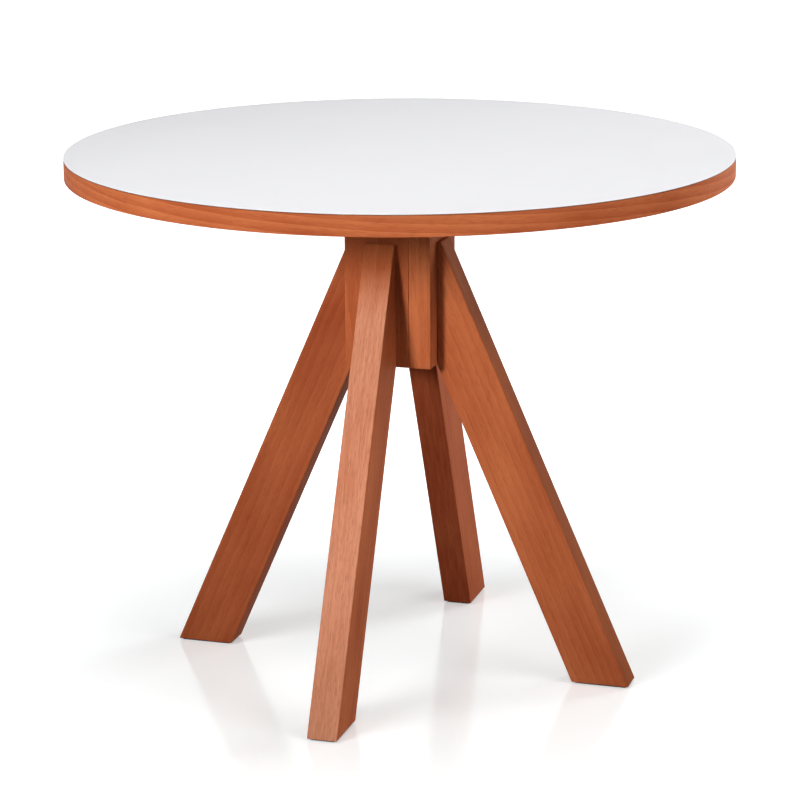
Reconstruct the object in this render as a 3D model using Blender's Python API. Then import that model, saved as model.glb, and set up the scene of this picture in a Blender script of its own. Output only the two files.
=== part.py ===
"""Round pedestal dining table, modelled as the separate pieces that it is assembled from.

A laminate-faced round top is screwed to a plywood plate, the plate to a hollow square hub of four boards, and
four splayed plank legs are bolted to the faces of the hub from inside it. Metres, +Z up, floor at zero height,
axis of the top on the origin. Run it with blender --background --python part.py.
"""

import math

import bmesh
import bpy
from mathutils import Euler, Matrix

# Driving dimensions of the whole table and its round top
TABLE_HEIGHT = 0.750
TOP_DIAMETER = 0.930
LAMINATE_THICKNESS = 0.0009
CORE_THICKNESS = 0.0267
BACKING_THICKNESS = 0.0008
BAND_THICKNESS = 0.0015
BAND_SEAM = 0.0004
BAND_EASE = 0.0004
LAMINATE_EASE = 0.0003

# Driving dimensions of the plate between hub and top
PLATE_SIDE = 0.280
PLATE_THICKNESS = 0.018
PLATE_CORNER_CUT = 0.040

# Driving dimensions of the hub, a pinwheel box of four boards
HUB_WIDTH = 0.124
HUB_LENGTH = 0.2484
HUB_BOARD_THICKNESS = 0.031

# Driving dimensions of the legs, the foot reach being from the axis of the table to the outer toe
LEG_WIDTH = 0.0757
LEG_THICKNESS = 0.043
LEG_OFFSET = 0.009
LEG_TOP_LEDGE = 0.006
FOOT_REACH = 0.343
WOOD_ARRIS = 0.0008

# Driving dimensions of the glides under the feet
GLIDE_THICKNESS = 0.002
GLIDE_INSET = 0.004
GLIDE_CORNER_CUT = 0.003
GLIDE_PEG_DIAMETER = 0.006
GLIDE_PEG_LENGTH = 0.012

# Driving dimensions of the bolted joint between leg and hub
BOLT_DIAMETER = 0.008
BOLT_HEAD_DIAMETER = 0.013
BOLT_HEAD_HEIGHT = 0.008
BOLT_KEY_WIDTH = 0.006
BOLT_KEY_DEPTH = 0.004
BOLT_CHAMFER = 0.001
BOLT_END_SPACE = 0.002
BOLT_LOWER_EDGE = 0.030
WASHER_DIAMETER = 0.016
WASHER_THICKNESS = 0.0016
INSERT_DIAMETER = 0.014
INSERT_LENGTH = 0.018
INSERT_COVER = 0.010
INSERT_RIDGES = 3
INSERT_RIDGE_DEPTH = 0.0007
DOWEL_DIAMETER = 0.010
DOWEL_LENGTH = 0.034
DOWEL_CHAMFER = 0.001

# Driving dimensions of the countersunk screws through the plate
TOP_SCREW_DIAMETER = 0.0045
TOP_SCREW_HEAD = 0.009
TOP_SCREW_COVER = 0.011
TOP_SCREW_EDGE = 0.025
TOP_SCREW_SPACING = 0.120
HUB_SCREW_DIAMETER = 0.005
HUB_SCREW_HEAD = 0.010
HUB_SCREW_BITE = 0.042
SCREW_SINK = 0.0005
SCREW_KEY_WIDTH = 0.003
SCREW_KEY_DEPTH = 0.0015

# Clearance between pieces that seat on each other, and round every fastener in its hole
SEAT_GAP = 0.0003

# How finely round shapes are divided, and how far a cutter stands out of the face it starts from
TOP_STEPS = 112
FASTENER_STEPS = 12
KEY_SIDES = 6
ARRIS_SEGMENTS = 2
CUTTER_OVERRUN = 0.002
MERGE_DISTANCE = 1e-6
SMOOTH_ANGLE = math.radians(35.0)

SIDES = ("front", "right", "rear", "left")
FULL_TURN = 2.0 * math.pi
QUARTER_TURN = math.pi / 2.0

# Heights of the top's layers, from the upper face down to the plate
LAMINATE_BASE = TABLE_HEIGHT - LAMINATE_THICKNESS
CORE_TOP = LAMINATE_BASE - SEAT_GAP
CORE_BASE = CORE_TOP - CORE_THICKNESS
BACKING_TOP = CORE_BASE - SEAT_GAP
TOP_UNDERSIDE = BACKING_TOP - BACKING_THICKNESS
PLATE_TOP = TOP_UNDERSIDE - SEAT_GAP
PLATE_BASE = PLATE_TOP - PLATE_THICKNESS
HUB_TOP = PLATE_BASE - SEAT_GAP
HUB_BASE = HUB_TOP - HUB_LENGTH

TOP_RADIUS = TOP_DIAMETER / 2
BAND_INNER_RADIUS = TOP_RADIUS - BAND_THICKNESS
CORE_RADIUS = BAND_INNER_RADIUS - SEAT_GAP

# Outline of a leg: its inner edge starts from the hub's lower end, and its lean follows from the foot reach
HUB_HALF = HUB_WIDTH / 2
CAVITY_HALF = HUB_HALF - HUB_BOARD_THICKNESS
LEG_END = HUB_HALF + SEAT_GAP
FOOT_HEIGHT = GLIDE_THICKNESS + SEAT_GAP
LEG_RUN = FOOT_REACH - LEG_END
LEG_RISE = HUB_BASE - FOOT_HEIGHT
LEG_LEAN = math.acos(LEG_WIDTH / math.hypot(LEG_RUN, LEG_RISE)) - math.atan2(LEG_RISE, LEG_RUN)
FOOT_INNER = LEG_END + LEG_RISE * math.tan(LEG_LEAN)
LEG_PEAK = HUB_BASE + LEG_WIDTH / math.sin(LEG_LEAN)
LEG_TOP = LEG_PEAK - LEG_TOP_LEDGE / math.tan(LEG_LEAN)
FOOT_MIDDLE = (FOOT_INNER + FOOT_REACH) / 2

# Heights of the fasteners in a leg: the upper bolt sits as high as the wood left beyond its insert allows
LOWER_BOLT_HEIGHT = HUB_BASE + BOLT_LOWER_EDGE
UPPER_BOLT_DROP = (INSERT_LENGTH + INSERT_COVER) / math.tan(LEG_LEAN) + INSERT_DIAMETER / 2
UPPER_BOLT_HEIGHT = LEG_PEAK - UPPER_BOLT_DROP
BOLT_HEIGHTS = {"lower": LOWER_BOLT_HEIGHT, "upper": UPPER_BOLT_HEIGHT}
DOWEL_HEIGHT = (LOWER_BOLT_HEIGHT + UPPER_BOLT_HEIGHT) / 2

# Seats along the bolt, from the hub's cavity outwards
WASHER_SEAT = CAVITY_HALF - SEAT_GAP
BOLT_SEAT = WASHER_SEAT - WASHER_THICKNESS - SEAT_GAP
INSERT_SEAT = LEG_END + SEAT_GAP
BOLT_LENGTH = INSERT_SEAT + INSERT_LENGTH - BOLT_END_SPACE - BOLT_SEAT
LEG_LINE = -LEG_OFFSET

# Screw lengths and places
TOP_SCREW_TIP = CORE_TOP - TOP_SCREW_COVER
TOP_SCREW_START = PLATE_BASE + SCREW_SINK
TOP_SCREW_LENGTH = TOP_SCREW_TIP - TOP_SCREW_START
TOP_SCREW_REACH = PLATE_SIDE / 2 - TOP_SCREW_EDGE
HUB_SCREW_START = PLATE_TOP - SCREW_SINK
HUB_SCREW_LENGTH = HUB_SCREW_START - HUB_TOP + HUB_SCREW_BITE
HUB_SCREW_REACH = HUB_HALF - HUB_BOARD_THICKNESS / 2
HUB_SCREW_LINE = -HUB_BOARD_THICKNESS / 2

# Turns that lay a piece made along +Z outwards along +X, or point it down
OUTWARD = (0.0, QUARTER_TURN, 0.0)
DOWNWARD = (math.pi, 0.0, 0.0)
UPRIGHT = (0.0, 0.0, 0.0)


def clear_scene():
    """Remove whatever the file holds, so that the script can be run again."""
    for old in list(bpy.data.objects):
        bpy.data.objects.remove(old, do_unlink=True)


def surface(name, colour, roughness, metallic=0.0):
    """Make a plain finish for a kind of piece, from its linear colour."""
    material = bpy.data.materials.new(name)
    material.use_nodes = True
    shader = material.node_tree.nodes["Principled BSDF"]
    shader.inputs["Base Color"].default_value = (*colour, 1.0)
    shader.inputs["Roughness"].default_value = roughness
    shader.inputs["Metallic"].default_value = metallic
    return material


def to_mesh(bm, name):
    """Close a bmesh into a mesh with outward faces, smooth where it is round."""
    bmesh.ops.remove_doubles(bm, verts=bm.verts, dist=MERGE_DISTANCE)
    bmesh.ops.recalc_face_normals(bm, faces=bm.faces)
    mesh = bpy.data.meshes.new(name)
    bm.to_mesh(mesh)
    bm.free()
    mesh.shade_smooth()
    mesh.set_sharp_from_angle(angle=SMOOTH_ANGLE)
    return mesh


def prism(name, outline, sweep):
    """Extrude a flat outline along a vector."""
    bm = bmesh.new()
    face = bm.faces.new([bm.verts.new(point) for point in outline])
    swept = bmesh.ops.extrude_face_region(bm, geom=[face])
    lifted = [item for item in swept["geom"] if isinstance(item, bmesh.types.BMVert)]
    bmesh.ops.translate(bm, verts=lifted, vec=sweep)
    return to_mesh(bm, name)


def disc(name, radius, base, top):
    """Make a round sheet that is centred on the axis of the table."""
    angles = [FULL_TURN * step / TOP_STEPS for step in range(TOP_STEPS)]
    outline = [(radius * math.cos(angle), radius * math.sin(angle), base) for angle in angles]
    return prism(name, outline, (0.0, 0.0, top - base))


def clipped_rectangle(low, high, cut, height):
    """Outline of a level rectangle whose corners are cut off at 45 degrees."""
    (x0, y0), (x1, y1) = low, high
    corners = [
        (x0 + cut, y0), (x1 - cut, y0), (x1, y0 + cut), (x1, y1 - cut),
        (x1 - cut, y1), (x0 + cut, y1), (x0, y1 - cut), (x0, y0 + cut),
    ]
    return [(x, y, height) for x, y in corners]


def turned(name, profile, steps=FASTENER_STEPS, ring=False, sweep=FULL_TURN):
    """Spin (radius, height) points round Z, into a solid or, where the profile closes on itself, a ring."""
    bm = bmesh.new()
    verts = [bm.verts.new((radius, 0.0, height)) for radius, height in profile]
    following = verts[1:] + verts[:1] if ring else verts[1:]
    edges = [bm.edges.new(pair) for pair in zip(verts, following)]
    whole = sweep == FULL_TURN
    spun = bmesh.ops.spin(
        bm, geom=verts + edges, cent=(0.0, 0.0, 0.0), axis=(0.0, 0.0, 1.0),
        angle=sweep, steps=steps, use_merge=whole,
    )
    if not whole:
        last = [item for item in spun["geom_last"] if isinstance(item, bmesh.types.BMVert)]
        bm.faces.new(verts)
        bmesh.ops.contextual_create(bm, geom=last)
    return to_mesh(bm, name)


def placed(mesh, location, rotation=UPRIGHT, turn=0.0):
    """Copy a mesh to a place in a side's frame, and turn that side about the axis of the table."""
    copy = mesh.copy()
    local = Matrix.Translation(location) @ Euler(rotation).to_matrix().to_4x4()
    copy.transform(Matrix.Rotation(turn, 4, "Z") @ local)
    return copy


def gathered(name, meshes):
    """Put several meshes into one, as the cutter for several holes."""
    bm = bmesh.new()
    for mesh in meshes:
        bm.from_mesh(mesh)
    return to_mesh(bm, name)


def shaped(blank, arris=0.0, cut=None, joined=None):
    """Ease a blank's edges, join a solid to it, cut its holes, and return the finished mesh."""
    work = bpy.data.objects.new(blank.name, blank)
    bpy.context.collection.objects.link(work)
    if arris:
        bevel = work.modifiers.new("Arris", "BEVEL")
        bevel.width = arris
        bevel.segments = ARRIS_SEGMENTS
        bevel.limit_method = "ANGLE"
    tools = []
    for solid, operation in ((joined, "UNION"), (cut, "DIFFERENCE")):
        if solid is None:
            continue
        tool = bpy.data.objects.new(solid.name, solid)
        bpy.context.collection.objects.link(tool)
        boolean = work.modifiers.new(operation.title(), "BOOLEAN")
        boolean.operation = operation
        boolean.solver = "EXACT"
        boolean.object = tool
        tools.append(tool)
    depsgraph = bpy.context.evaluated_depsgraph_get()
    finished = bpy.data.meshes.new_from_object(work.evaluated_get(depsgraph))
    finished.name = blank.name
    finished.shade_smooth()
    finished.set_sharp_from_angle(angle=SMOOTH_ANGLE)
    for spent in [work, *tools]:
        bpy.data.objects.remove(spent, do_unlink=True)
    return finished


def piece(name, mesh, material, frame=None, location=(0.0, 0.0, 0.0), rotation=UPRIGHT):
    """Add a named sub-part, in the frame of its side of the table where it has one."""
    if not mesh.materials:
        mesh.materials.append(material)
    obj = bpy.data.objects.new(name, mesh)
    obj.parent = frame
    obj.location = location
    obj.rotation_euler = rotation
    bpy.context.collection.objects.link(obj)
    return obj


def side_turn(side):
    """Angle of a side's outward direction, the front looking along -Y."""
    return SIDES.index(side) * QUARTER_TURN - QUARTER_TURN


def side_frame(side):
    """Empty whose +X points outwards through the middle of one side of the hub."""
    frame = bpy.data.objects.new(f"{side}_side", None)
    frame.rotation_euler.z = side_turn(side)
    bpy.context.collection.objects.link(frame)
    return frame


def rod(name, diameter, start, end):
    """Plain round cutter between two heights."""
    radius = diameter / 2
    return turned(name, [(0.0, start), (radius, start), (radius, end), (0.0, end)])


def clear_of(diameter):
    """Diameter of a hole that clears a round piece all round."""
    return diameter + 2 * SEAT_GAP


def hex_key(name, width, start, end):
    """Six-sided cutter for a key socket, its width taken across the flats."""
    corner = width / 2 / math.cos(math.pi / KEY_SIDES)
    profile = [(0.0, start), (corner, start), (corner, end), (0.0, end)]
    return turned(name, profile, steps=KEY_SIDES)


def bolt_mesh():
    """Socket head bolt along +Z, its head's seat at zero height."""
    head = BOLT_HEAD_DIAMETER / 2
    shank = BOLT_DIAMETER / 2
    crown = -BOLT_HEAD_HEIGHT
    profile = [
        (0.0, crown), (head - BOLT_CHAMFER, crown), (head, crown + BOLT_CHAMFER), (head, 0.0), (shank, 0.0),
        (shank, BOLT_LENGTH - BOLT_CHAMFER), (shank - BOLT_CHAMFER, BOLT_LENGTH), (0.0, BOLT_LENGTH),
    ]
    key = hex_key("bolt_key", BOLT_KEY_WIDTH, crown - CUTTER_OVERRUN, crown + BOLT_KEY_DEPTH)
    return shaped(turned("leg_bolt", profile), cut=key)


def washer_mesh():
    """Flat washer along +Z, its outer face at zero height."""
    outer = WASHER_DIAMETER / 2
    inner = BOLT_DIAMETER / 2 + SEAT_GAP
    profile = [(inner, -WASHER_THICKNESS), (outer, -WASHER_THICKNESS), (outer, 0.0), (inner, 0.0)]
    return turned("bolt_washer", profile, ring=True)


def insert_mesh():
    """Ridged insert along +Z, its mouth at zero height."""
    crest = INSERT_DIAMETER / 2
    root = crest - INSERT_RIDGE_DEPTH
    bore = BOLT_DIAMETER / 2 + SEAT_GAP
    pitch = INSERT_LENGTH / INSERT_RIDGES
    profile = [(bore, 0.0)]
    for ridge in range(INSERT_RIDGES):
        profile.append((root, pitch * ridge))
        profile.append((crest, pitch * (ridge + 0.5)))
    profile += [(root, INSERT_LENGTH), (bore, INSERT_LENGTH)]
    return turned("threaded_insert", profile, ring=True)


def dowel_mesh():
    """Dowel along +Z with chamfered ends, its middle at zero height."""
    radius = DOWEL_DIAMETER / 2
    half = DOWEL_LENGTH / 2
    profile = [
        (0.0, -half), (radius - DOWEL_CHAMFER, -half), (radius, DOWEL_CHAMFER - half),
        (radius, half - DOWEL_CHAMFER), (radius - DOWEL_CHAMFER, half), (0.0, half),
    ]
    return turned("leg_dowel", profile)


def screw_mesh(name, diameter, head_diameter, length):
    """Countersunk screw along +Z, its flat head at zero height."""
    shank = diameter / 2
    head = head_diameter / 2
    profile = [(0.0, 0.0), (head, 0.0), (shank, head - shank), (shank, length - diameter), (0.0, length)]
    key = hex_key("screw_key", SCREW_KEY_WIDTH, -CUTTER_OVERRUN, SCREW_KEY_DEPTH)
    return shaped(turned(name, profile), cut=key)


def screw_bore(diameter, head_diameter, length):
    """Cutter for a countersunk screw's hole, clear of the screw all round."""
    shank = diameter / 2 + SEAT_GAP
    head = head_diameter / 2 + SEAT_GAP
    start = -SCREW_SINK - CUTTER_OVERRUN
    end = length + SEAT_GAP
    profile = [(0.0, start), (head, start), (head, 0.0), (shank, head - shank), (shank, end), (0.0, end)]
    return turned("screw_bore", profile)


def top_screw_places():
    """Places of the two top screws in a side's frame."""
    half = TOP_SCREW_SPACING / 2
    return [(TOP_SCREW_REACH, -half, TOP_SCREW_START), (TOP_SCREW_REACH, half, TOP_SCREW_START)]


def hub_screw_place():
    """Place of the hub screw in a side's frame, over the middle of that side's board."""
    return (HUB_SCREW_REACH, HUB_SCREW_LINE, HUB_SCREW_START)


def top_screw_holes():
    """Cutter for all the top screws' holes."""
    bore = screw_bore(TOP_SCREW_DIAMETER, TOP_SCREW_HEAD, TOP_SCREW_LENGTH)
    holes = [placed(bore, place, turn=side_turn(side)) for side in SIDES for place in top_screw_places()]
    return gathered("top_screw_holes", holes)


def plate_holes():
    """Cutter for the plate: the top screws from below, and the hub screws from above."""
    bore = screw_bore(HUB_SCREW_DIAMETER, HUB_SCREW_HEAD, HUB_SCREW_LENGTH)
    downward = [placed(bore, hub_screw_place(), DOWNWARD, side_turn(side)) for side in SIDES]
    return gathered("plate_holes", [top_screw_holes(), *downward])


def laminate_mesh():
    """Laminate sheet over core and band, its upper edge eased."""
    shoulder = TABLE_HEIGHT - LAMINATE_EASE
    profile = [
        (0.0, LAMINATE_BASE), (TOP_RADIUS, LAMINATE_BASE), (TOP_RADIUS, shoulder),
        (TOP_RADIUS - LAMINATE_EASE, TABLE_HEIGHT), (0.0, TABLE_HEIGHT),
    ]
    return turned("top_laminate", profile, steps=TOP_STEPS)


def band_mesh():
    """Edge band as one strip bent round the rim, its ends meeting at the rear."""
    profile = [
        (BAND_INNER_RADIUS, TOP_UNDERSIDE), (TOP_RADIUS - BAND_EASE, TOP_UNDERSIDE),
        (TOP_RADIUS, TOP_UNDERSIDE + BAND_EASE), (TOP_RADIUS, CORE_TOP), (BAND_INNER_RADIUS, CORE_TOP),
    ]
    band = turned("edge_band", profile, steps=TOP_STEPS, ring=True, sweep=FULL_TURN - BAND_SEAM / TOP_RADIUS)
    band.transform(Matrix.Rotation(QUARTER_TURN, 4, "Z"))
    return band


def plate_mesh():
    """Plate with clipped corners, countersunk on both faces."""
    half = PLATE_SIDE / 2
    outline = clipped_rectangle((-half, -half), (half, half), PLATE_CORNER_CUT, PLATE_BASE)
    blank = prism("mounting_plate", outline, (0.0, 0.0, PLATE_THICKNESS))
    return shaped(blank, WOOD_ARRIS, cut=plate_holes())


def board_mesh():
    """Hub board of one side: it covers that side's face up to the edge of the next board round."""
    end = CAVITY_HALF - SEAT_GAP
    outline = [
        (CAVITY_HALF, -HUB_HALF, HUB_BASE), (HUB_HALF, -HUB_HALF, HUB_BASE),
        (HUB_HALF, end, HUB_BASE), (CAVITY_HALF, end, HUB_BASE),
    ]
    blank = prism("hub_board", outline, (0.0, 0.0, HUB_LENGTH))
    through = HUB_BOARD_THICKNESS + CUTTER_OVERRUN
    bolt_hole = rod("bolt_hole", clear_of(BOLT_DIAMETER), -CUTTER_OVERRUN, through)
    holes = [placed(bolt_hole, (CAVITY_HALF, LEG_LINE, height), OUTWARD) for height in BOLT_HEIGHTS.values()]
    dowel_hole = rod("dowel_hole", clear_of(DOWEL_DIAMETER), -DOWEL_LENGTH / 2 - SEAT_GAP, CUTTER_OVERRUN)
    holes.append(placed(dowel_hole, (HUB_HALF, LEG_LINE, DOWEL_HEIGHT), OUTWARD))
    screw_hole = screw_bore(HUB_SCREW_DIAMETER, HUB_SCREW_HEAD, HUB_SCREW_LENGTH)
    holes.append(placed(screw_hole, hub_screw_place(), DOWNWARD))
    return shaped(blank, WOOD_ARRIS, cut=gathered("board_holes", holes))


def leg_mesh():
    """Leg of one side: a plank cut level at the foot and upright where it seats on the hub."""
    edge = LEG_LINE - LEG_THICKNESS / 2
    outline = [
        (FOOT_INNER, edge, FOOT_HEIGHT), (FOOT_REACH, edge, FOOT_HEIGHT),
        (LEG_END + LEG_TOP_LEDGE, edge, LEG_TOP), (LEG_END, edge, LEG_TOP), (LEG_END, edge, HUB_BASE),
    ]
    blank = prism("leg", outline, (0.0, LEG_THICKNESS, 0.0))
    insert_depth = INSERT_SEAT - LEG_END + INSERT_LENGTH + SEAT_GAP
    insert_hole = rod("insert_hole", clear_of(INSERT_DIAMETER), -CUTTER_OVERRUN, insert_depth)
    holes = [placed(insert_hole, (LEG_END, LEG_LINE, height), OUTWARD) for height in BOLT_HEIGHTS.values()]
    dowel_hole = rod("dowel_hole", clear_of(DOWEL_DIAMETER), -CUTTER_OVERRUN, DOWEL_LENGTH / 2 + SEAT_GAP)
    holes.append(placed(dowel_hole, (LEG_END, LEG_LINE, DOWEL_HEIGHT), OUTWARD))
    peg_hole = rod("peg_hole", clear_of(GLIDE_PEG_DIAMETER), -CUTTER_OVERRUN, GLIDE_PEG_LENGTH + SEAT_GAP)
    holes.append(placed(peg_hole, (FOOT_MIDDLE, LEG_LINE, FOOT_HEIGHT)))
    return shaped(blank, WOOD_ARRIS, cut=gathered("leg_holes", holes))


def glide_mesh():
    """Glide with a peg, its pad set in from the edges of the foot."""
    half = LEG_THICKNESS / 2 - GLIDE_INSET
    low = (FOOT_INNER + GLIDE_INSET, LEG_LINE - half)
    high = (FOOT_REACH - GLIDE_INSET, LEG_LINE + half)
    pad = prism("foot_glide", clipped_rectangle(low, high, GLIDE_CORNER_CUT, 0.0), (0.0, 0.0, GLIDE_THICKNESS))
    peg = rod("glide_peg", GLIDE_PEG_DIAMETER, GLIDE_THICKNESS / 2, FOOT_HEIGHT + GLIDE_PEG_LENGTH)
    return shaped(pad, joined=placed(peg, (FOOT_MIDDLE, LEG_LINE, 0.0)))


def build_top():
    """Add the layers of the round top, its edge band and the plate under it."""
    laminate = surface("white_laminate", (0.83, 0.83, 0.86), 0.35)
    veneer = surface("cherry_veneer", (0.47, 0.16, 0.06), 0.40)
    fibreboard = surface("fibreboard", (0.46, 0.33, 0.20), 0.80)
    balance = surface("balancing_laminate", (0.60, 0.58, 0.55), 0.60)
    plywood = surface("birch_plywood", (0.58, 0.42, 0.26), 0.70)
    holes = top_screw_holes()
    core = disc("top_core", CORE_RADIUS, CORE_BASE, CORE_TOP)
    backing = disc("backing_sheet", CORE_RADIUS, TOP_UNDERSIDE, BACKING_TOP)
    piece("top_laminate", laminate_mesh(), laminate)
    piece("top_core", shaped(core, cut=holes), fibreboard)
    piece("backing_sheet", shaped(backing, cut=holes), balance)
    piece("edge_band", band_mesh(), veneer)
    piece("mounting_plate", plate_mesh(), plywood)


def build_base():
    """Add the hub boards, the legs, and every fastener that belongs to a side."""
    hub_wood = surface("cherry_hub", (0.40, 0.13, 0.05), 0.45)
    leg_wood = surface("cherry_leg", (0.44, 0.15, 0.06), 0.45)
    dowel_wood = surface("beech_dowel", (0.60, 0.40, 0.22), 0.70)
    plastic = surface("black_glide_plastic", (0.02, 0.02, 0.02), 0.50)
    steel = surface("black_bolt_steel", (0.05, 0.05, 0.05), 0.40, 1.0)
    zinc = surface("zinc_washer", (0.55, 0.56, 0.58), 0.35, 1.0)
    brass = surface("brass_insert", (0.65, 0.45, 0.18), 0.35, 1.0)
    yellow_zinc = surface("yellow_zinc_screw", (0.60, 0.48, 0.20), 0.35, 1.0)
    board, leg, glide = board_mesh(), leg_mesh(), glide_mesh()
    bolt, washer, insert, dowel = bolt_mesh(), washer_mesh(), insert_mesh(), dowel_mesh()
    top_screw = screw_mesh("top_screw", TOP_SCREW_DIAMETER, TOP_SCREW_HEAD, TOP_SCREW_LENGTH)
    hub_screw = screw_mesh("hub_screw", HUB_SCREW_DIAMETER, HUB_SCREW_HEAD, HUB_SCREW_LENGTH)
    for side in SIDES:
        frame = side_frame(side)
        piece(f"hub_board_{side}", board, hub_wood, frame)
        piece(f"leg_{side}", leg, leg_wood, frame)
        piece(f"foot_glide_{side}", glide, plastic, frame)
        for level, height in BOLT_HEIGHTS.items():
            name = f"{side}_{level}"
            piece(f"leg_bolt_{name}", bolt, steel, frame, (BOLT_SEAT, LEG_LINE, height), OUTWARD)
            piece(f"bolt_washer_{name}", washer, zinc, frame, (WASHER_SEAT, LEG_LINE, height), OUTWARD)
            piece(f"threaded_insert_{name}", insert, brass, frame, (INSERT_SEAT, LEG_LINE, height), OUTWARD)
        dowel_place = (LEG_END - SEAT_GAP / 2, LEG_LINE, DOWEL_HEIGHT)
        piece(f"leg_dowel_{side}", dowel, dowel_wood, frame, dowel_place, OUTWARD)
        piece(f"hub_screw_{side}", hub_screw, yellow_zinc, frame, hub_screw_place(), DOWNWARD)
        for number, place in enumerate(top_screw_places(), start=1):
            piece(f"top_screw_{side}_{number}", top_screw, yellow_zinc, frame, place)


def main():
    clear_scene()
    build_top()
    build_base()
    lean = math.degrees(LEG_LEAN)
    print(f"leg lean {lean:.2f} degrees, hub base {HUB_BASE:.4f} m, leg top {LEG_TOP:.4f} m")


main()
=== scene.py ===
# %% [markdown]
# # A round dining table in the studio
# The table has a white laminate top with a wood band round its rim. Four splayed planks carry it, bolted to
# the faces of a hollow square hub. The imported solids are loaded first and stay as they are: each piece made
# below takes its size and place from them, stands for one of them, and adds the finish that shows.

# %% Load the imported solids
import math

import bmesh
import bpy
from mathutils import Matrix, Vector


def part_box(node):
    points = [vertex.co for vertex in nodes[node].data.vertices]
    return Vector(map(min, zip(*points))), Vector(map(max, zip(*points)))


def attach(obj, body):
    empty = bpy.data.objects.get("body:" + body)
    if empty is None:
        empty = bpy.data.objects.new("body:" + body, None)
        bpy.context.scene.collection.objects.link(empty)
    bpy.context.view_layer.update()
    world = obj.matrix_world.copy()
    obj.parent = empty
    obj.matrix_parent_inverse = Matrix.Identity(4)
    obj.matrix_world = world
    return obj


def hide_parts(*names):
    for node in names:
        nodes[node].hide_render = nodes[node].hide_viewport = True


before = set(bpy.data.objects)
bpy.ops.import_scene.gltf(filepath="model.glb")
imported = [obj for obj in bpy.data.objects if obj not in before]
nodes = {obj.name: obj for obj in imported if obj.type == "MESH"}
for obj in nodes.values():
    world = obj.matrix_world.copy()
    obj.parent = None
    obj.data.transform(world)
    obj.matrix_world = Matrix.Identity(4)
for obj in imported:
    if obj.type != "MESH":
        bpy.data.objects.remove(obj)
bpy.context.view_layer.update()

# %% [markdown]
# ## The camera
# The photograph was taken from a little above the top, from far off with a long lens, so that the rim is a
# slim ellipse and the legs hardly converge. The place was worked out from the rim, the leg edges and the
# feet. It is kept as plain measures: how far from the table's axis, how high, and how the camera was
# turned, tilted and rolled.

# %% Stand the camera where the photograph was taken
PHOTO_SIDE = 800
LENS_IN_PIXELS = 2875.1
SENSOR_WIDTH = 36.0
CAMERA_DISTANCE = 3.951
CAMERA_HEIGHT = 1.437
CAMERA_AROUND = math.radians(17.10)
CAMERA_SWING = math.radians(0.021)
CAMERA_TILT = math.radians(14.84)
CAMERA_ROLL = math.radians(-0.304)
QUARTER_TURN = math.pi / 2

side_step = CAMERA_DISTANCE * math.sin(CAMERA_AROUND)
back_step = -CAMERA_DISTANCE * math.cos(CAMERA_AROUND)
bpy.ops.object.camera_add()
camera = bpy.context.object
camera.name = "photo_camera"
camera.data.sensor_width = SENSOR_WIDTH
camera.data.lens = LENS_IN_PIXELS * SENSOR_WIDTH / PHOTO_SIDE
turned_to_table = Matrix.Rotation(CAMERA_AROUND + CAMERA_SWING, 4, "Z")
tilted_down = Matrix.Rotation(QUARTER_TURN - CAMERA_TILT, 4, "X")
rolled = Matrix.Rotation(CAMERA_ROLL, 4, "Z")
standing = Matrix.Translation((side_step, back_step, CAMERA_HEIGHT))
camera.matrix_world = standing @ turned_to_table @ tilted_down @ rolled
scene = bpy.context.scene
scene.camera = camera
scene.view_settings.view_transform = "Standard"
print("lens", round(camera.data.lens, 1), "mm")

# %% [markdown]
# ## Colours and nodes
# Colours are picked as sRGB hex values, as any paint chart gives them, and the shader wants them linear.
# One small function adds a node, sets what it holds and links what feeds it, so that each material below
# reads as a list. A Mix node keeps separate sockets for numbers, vectors and colours under the same names,
# so those for colours go by number.

# %% Helpers for materials
BRIGHTEST = 255
SRGB_TOE = 0.04045
SRGB_TOE_SLOPE = 12.92
SRGB_OFFSET = 0.055
SRGB_POWER = 2.4
MIX_FACTOR = 0
MIX_A = 6
MIX_B = 7
MIX_OUT = 2


def linear(code):
    """Turn a hex colour such as A45324 into the linear colour that a shader reads."""
    colour = []
    for start in (0, 2, 4):
        level = int(code[start:start + 2], base=16) / BRIGHTEST
        if level <= SRGB_TOE:
            colour.append(level / SRGB_TOE_SLOPE)
        else:
            colour.append(((level + SRGB_OFFSET) / (1 + SRGB_OFFSET)) ** SRGB_POWER)
    return (*colour, 1.0)


def add_node(tree, kind, sockets=None, **settings):
    """Add a node, give it its settings, and fill or link its input sockets."""
    node = tree.nodes.new(kind)
    for name, value in settings.items():
        setattr(node, name, value)
    for socket, value in (sockets or {}).items():
        if isinstance(value, bpy.types.NodeSocket):
            tree.links.new(value, node.inputs[socket])
        else:
            node.inputs[socket].default_value = value
    return node


def new_material(name):
    """Start a material, and return it with its tree and its Principled shader."""
    material = bpy.data.materials.new(name)
    material.use_nodes = True
    tree = material.node_tree
    return material, tree, tree.nodes["Principled BSDF"]


print("mid grey", [round(c, 3) for c in linear("808080")])

# %% [markdown]
# ## The studio
# A product studio is a white sweep with soft boxes. The main one stands far off to the front left, low
# enough for the rim to shade the tops of the legs, with a grid that narrows its beam to the table. One high
# at the front lights the top and fills the shades, one on each side shapes the legs, one stands low behind
# them for their far sides, and one hangs over the top. The surround itself gives little light, but the
# camera sees it white, and so do mirrors and glass.

# %% Light the surround
SIDE_LIGHT = 0.01
OVERHEAD_LIGHT = 0.03
SEEN_WHITE = 1.0


def seen_directly(tree):
    """Return a socket that is 1 where the camera sees, also by mirror or through glass, and otherwise 0."""
    path = add_node(tree, "ShaderNodeLightPath").outputs
    seen = path["Is Camera Ray"]
    for kind in ("Is Glossy Ray", "Is Transmission Ray"):
        seen = add_node(tree, "ShaderNodeMath", {0: seen, 1: path[kind]}, operation="MAXIMUM").outputs[0]
    return seen


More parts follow.
